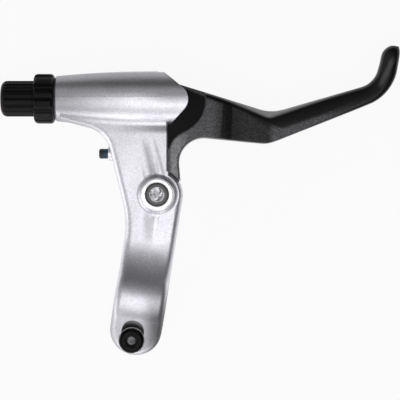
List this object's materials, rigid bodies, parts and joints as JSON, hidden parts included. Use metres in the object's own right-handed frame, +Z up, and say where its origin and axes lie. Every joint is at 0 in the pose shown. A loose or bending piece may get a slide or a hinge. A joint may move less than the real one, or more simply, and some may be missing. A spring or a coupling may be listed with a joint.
{
  "type": "bicycle brake lever",
  "caption": "Alloy bicycle brake lever: handlebar clamp with cast arm and barrel, pivoting hooked finger blade, cable adjuster knob with lock ring, and a reach screw.",
  "frame": {"origin": "centre of the handlebar clamp bore", "axes": "+X along the handlebar towards the grip, +Y forward from the bar towards the blade, +Z up along the pivot bolt"},
  "size_m": [0.1572, 0.1398, 0.0292],
  "materials": {
    "silver_body": "silver metallic paint",
    "black_blade": "black metallic paint",
    "bush_bronze": "satin",
    "black_screw": "black oxide",
    "bright_washer": "bright",
    "set_screw": "black with blue thread lock",
    "black_stem": "black anodised",
    "black_knob": "moulded",
    "black_ring": "moulded"
  },
  "bodies": {
    "clamp_body": {"lever_body": "silver_body", "pivot_bolt": "black_screw", "pivot_washer": "bright_washer", "pivot_nut": "black_screw", "clamp_bolt": "black_screw"},
    "blade": {"lever_blade": "black_blade", "upper_bush": "bush_bronze", "lower_bush": "bush_bronze"},
    "stem": {"adjuster_stem": "black_stem"},
    "knob": {"adjuster_knob": "black_knob"},
    "ring": {"lock_ring": "black_ring"},
    "set_screw": {"reach_screw": "set_screw"}
  },
  "joints": [
    {"name": "lever_pivot", "type": "hinge", "parent": "clamp_body", "child": "blade", "pos_m": [0, 0.043, 0], "axis": [0, 0, -1], "range_deg": [0, 40], "stiffness_Nm_per_rad": 0.4, "springref_deg": -14.32},
    {"name": "stem_travel", "type": "slide", "parent": "clamp_body", "child": "stem", "axis": [-0.9877, -0.1564, 0], "range_m": [0, 0.006]},
    {"name": "knob_turn", "type": "hinge", "parent": "stem", "child": "knob", "pos_m": [-0.06238, 0.0725, 0], "axis": [-0.9877, -0.1564, 0], "range_deg": [0, 2160]},
    {"name": "ring_turn", "type": "hinge", "parent": "clamp_body", "child": "ring", "pos_m": [-0.05122, 0.07427, 0], "axis": [-0.9877, -0.1564, 0], "continuous": true},
    {"name": "reach_travel", "type": "slide", "parent": "clamp_body", "child": "set_screw", "axis": [-0.9877, -0.1564, 0], "range_m": [0, 0.003]}
  ],
  "couplings": [
    {"joint": "knob_turn", "follows": "stem_travel", "rad_per_m": 6283.2}
  ]
}
